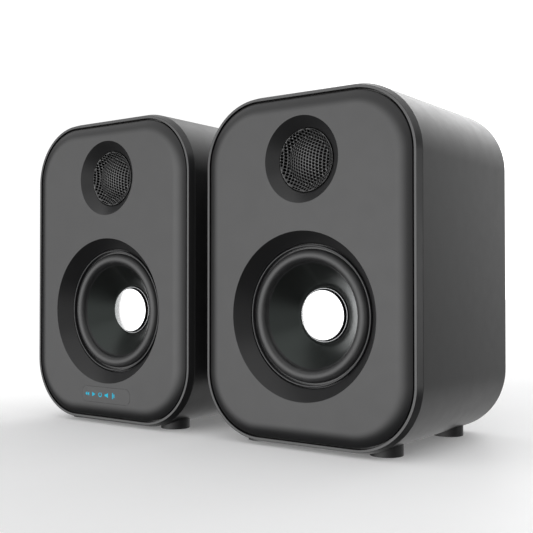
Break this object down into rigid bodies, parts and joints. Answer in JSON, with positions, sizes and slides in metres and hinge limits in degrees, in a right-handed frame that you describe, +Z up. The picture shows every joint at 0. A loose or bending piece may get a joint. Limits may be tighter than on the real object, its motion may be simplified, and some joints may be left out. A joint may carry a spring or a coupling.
{
  "type": "desktop speakers",
  "caption": "Pair of two-way desktop speakers with rounded cabinets, domed tweeter grilles, rubber-edged woofers with polished caps and a lit touch strip.",
  "frame": {"origin": "on the desk plane, midway between the two speakers and midway along their depth", "axes": "+X right as seen from the front, +Y towards the back, +Z up"},
  "size_m": [0.3036, 0.133, 0.2066],
  "materials": {
    "case": "satin soft-touch",
    "trim": "satin",
    "front_panel": "satin",
    "rear_panel": "fine matt grain",
    "screw_steel": "black zinc",
    "foot_rubber": "matt",
    "frame_paint": "satin black",
    "gasket_rubber": "satin",
    "surround_rubber": "satin",
    "cone_plastic": "satin",
    "polished_cap": "polished",
    "bright_ring": "polished",
    "coil_copper": "enamelled wire",
    "spider_cloth": "resin-coated cloth",
    "plate_steel": "zinc plated",
    "ferrite": "ground",
    "grille_mesh": "satin black",
    "dome_cloth": "coated cloth",
    "black_plastic": "moulded",
    "lever_red": "moulded",
    "lever_black": "moulded",
    "touch_lens": "satin",
    "icon_light": "lit",
    "board": "solder mask",
    "rocker_plastic": "moulded",
    "knob_plastic": "moulded"
  },
  "bodies": {
    "left_speaker": {"left_cabinet": "case", "left_trim_ring": "trim", "left_baffle": "front_panel", "left_back_panel": "rear_panel", "left_panel_screws": "screw_steel", "left_feet": "foot_rubber", "left_woofer_frame": "frame_paint", "left_woofer_screws": "screw_steel", "left_woofer_gasket": "gasket_rubber", "left_surround": "surround_rubber", "left_spider": "spider_cloth", "left_top_plate": "plate_steel", "left_magnet": "ferrite", "left_yoke": "plate_steel", "left_tweeter_housing": "frame_paint", "left_tweeter_grille": "grille_mesh", "left_tweeter_motor": "plate_steel", "left_terminal_block": "black_plastic", "left_touch_window": "touch_lens", "left_touch_icons": "icon_light", "left_touch_board": "board", "left_amp_board": "board", "left_aux_jack": "black_plastic", "left_power_jack": "black_plastic", "left_rocker_housing": "black_plastic"},
    "left_woofer": {"left_cone": "cone_plastic", "left_dust_cap": "polished_cap", "left_cap_ring": "bright_ring", "left_voice_coil": "coil_copper"},
    "left_tweeter": {"left_tweeter_dome": "dome_cloth"},
    "left_red_terminal": {"left_red_lever": "lever_red"},
    "left_black_terminal": {"left_black_lever": "lever_black"},
    "rocker": {"left_power_rocker": "rocker_plastic"},
    "knob": {"left_volume_knob": "knob_plastic"},
    "right_speaker": {"right_cabinet": "case", "right_trim_ring": "trim", "right_baffle": "front_panel", "right_back_panel": "rear_panel", "right_panel_screws": "screw_steel", "right_feet": "foot_rubber", "right_woofer_frame": "frame_paint", "right_woofer_screws": "screw_steel", "right_woofer_gasket": "gasket_rubber", "right_surround": "surround_rubber", "right_spider": "spider_cloth", "right_top_plate": "plate_steel", "right_magnet": "ferrite", "right_yoke": "plate_steel", "right_tweeter_housing": "frame_paint", "right_tweeter_grille": "grille_mesh", "right_tweeter_motor": "plate_steel", "right_terminal_block": "black_plastic", "right_crossover": "board"},
    "right_woofer": {"right_cone": "cone_plastic", "right_dust_cap": "polished_cap", "right_cap_ring": "bright_ring", "right_voice_coil": "coil_copper"},
    "right_tweeter": {"right_tweeter_dome": "dome_cloth"},
    "right_red_terminal": {"right_red_lever": "lever_red"},
    "right_black_terminal": {"right_black_lever": "lever_black"}
  },
  "joints": [
    {"name": "right_speaker_place", "type": "slide", "parent": "left_speaker", "child": "right_speaker", "axis": [1, 0, 0], "range_m": [0, 0.25]},
    {"name": "left_woofer_stroke", "type": "slide", "parent": "left_speaker", "child": "left_woofer", "axis": [0, 1, 0], "range_m": [-0.003, 0.003], "deforming": ["left_surround", "left_spider"]},
    {"name": "left_tweeter_stroke", "type": "slide", "parent": "left_speaker", "child": "left_tweeter", "axis": [0, 1, 0], "range_m": [-0.0003, 0.0003]},
    {"name": "left_red_push", "type": "hinge", "parent": "left_speaker", "child": "left_red_terminal", "pos_m": [-0.042, 0.05437, 0.0612], "axis": [-1, 0, 0], "range_deg": [0, 22]},
    {"name": "left_black_push", "type": "hinge", "parent": "left_speaker", "child": "left_black_terminal", "pos_m": [-0.056, 0.05437, 0.0612], "axis": [-1, 0, 0], "range_deg": [0, 22]},
    {"name": "right_woofer_stroke", "type": "slide", "parent": "right_speaker", "child": "right_woofer", "axis": [0, 1, 0], "range_m": [-0.003, 0.003], "deforming": ["right_surround", "right_spider"]},
    {"name": "right_tweeter_stroke", "type": "slide", "parent": "right_speaker", "child": "right_tweeter", "axis": [0, 1, 0], "range_m": [-0.0003, 0.0003]},
    {"name": "right_red_push", "type": "hinge", "parent": "right_speaker", "child": "right_red_terminal", "pos_m": [0.086, 0.05437, 0.0712], "axis": [-1, 0, 0], "range_deg": [0, 22]},
    {"name": "right_black_push", "type": "hinge", "parent": "right_speaker", "child": "right_black_terminal", "pos_m": [0.072, 0.05437, 0.0712], "axis": [-1, 0, 0], "range_deg": [0, 22]},
    {"name": "volume_turn", "type": "hinge", "parent": "left_speaker", "child": "knob", "pos_m": [-0.051, 0.05588, 0.1016], "axis": [0, -1, 0], "range_deg": [-150, 150]},
    {"name": "power_rock", "type": "hinge", "parent": "left_speaker", "child": "rocker", "pos_m": [-0.107, 0.05287, 0.1016], "axis": [-1, 0, 0], "range_deg": [0, 16]}
  ]
}
